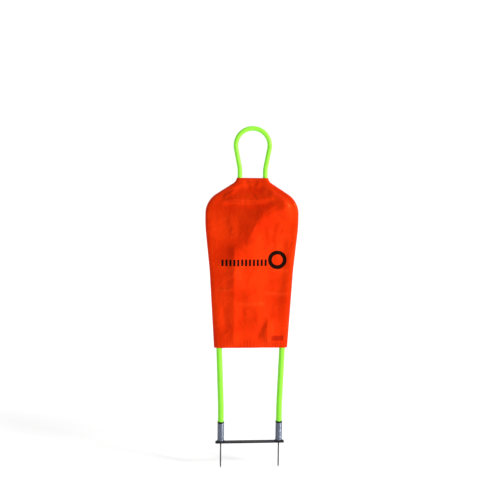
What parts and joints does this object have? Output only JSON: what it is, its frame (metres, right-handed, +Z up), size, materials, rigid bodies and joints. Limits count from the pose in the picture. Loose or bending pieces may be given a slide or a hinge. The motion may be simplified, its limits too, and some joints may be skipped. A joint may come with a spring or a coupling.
{
  "type": "spring-based training mannequin",
  "caption": "Flat standing figure for free-kick practice: fabric cover over a bent tube hoop on legs, with coil springs on a flat bar and ground spikes.",
  "frame": {"origin": "middle of the base bar's underside, at ground level", "axes": "+Z up along the figure, +X to the figure's right as seen from the front, -Y towards the front; the spikes go below the origin"},
  "size_m": [0.505, 0.044, 1.8956],
  "materials": {
    "bar_paint": "matt black paint",
    "spike_steel": "plain drawn rod",
    "spring_steel": "bright spring wire",
    "zinc_steel": "zinc plated",
    "black_plastic": "moulded, matt",
    "green_tube": "fluorescent green, satin gloss",
    "orange_fabric": "satin woven nylon"
  },
  "bodies": {
    "base": {"base_bar": "bar_paint", "ground_spike_left": "spike_steel", "ground_spike_right": "spike_steel", "spring_seat_left": "black_plastic", "spring_seat_right": "black_plastic", "lower_plug_left": "black_plastic", "lower_plug_right": "black_plastic", "spike_washer_left": "zinc_steel", "spike_washer_right": "zinc_steel", "spike_nut_left": "zinc_steel", "spike_nut_right": "zinc_steel"},
    "springs": {"spring_left": "spring_steel", "spring_right": "spring_steel"},
    "frame": {"upper_plug_left": "black_plastic", "upper_plug_right": "black_plastic", "leg_ferrule_left": "black_plastic", "leg_ferrule_right": "black_plastic", "leg_tube_left": "green_tube", "leg_tube_right": "green_tube", "tube_reducer_left": "black_plastic", "tube_reducer_right": "black_plastic", "hoop_tube": "green_tube", "cover_front_panel": "orange_fabric", "cover_back_panel": "orange_fabric"}
  },
  "joints": [
    {"name": "spring_bend_lower", "type": "hinge", "parent": "base", "child": "springs", "pos_m": [0, 0, 0.0454], "axis": [1, 0, 0], "range_deg": [-35, 35], "stiffness_Nm_per_rad": 30, "deforming": ["spring_left", "spring_right"]},
    {"name": "spring_bend_upper", "type": "hinge", "parent": "springs", "child": "frame", "pos_m": [0, 0, 0.0781], "axis": [1, 0, 0], "range_deg": [-35, 35], "stiffness_Nm_per_rad": 30, "deforming": ["spring_left", "spring_right"]}
  ],
  "couplings": [
    {"joint": "spring_bend_upper", "follows": "spring_bend_lower", "ratio": 1}
  ]
}
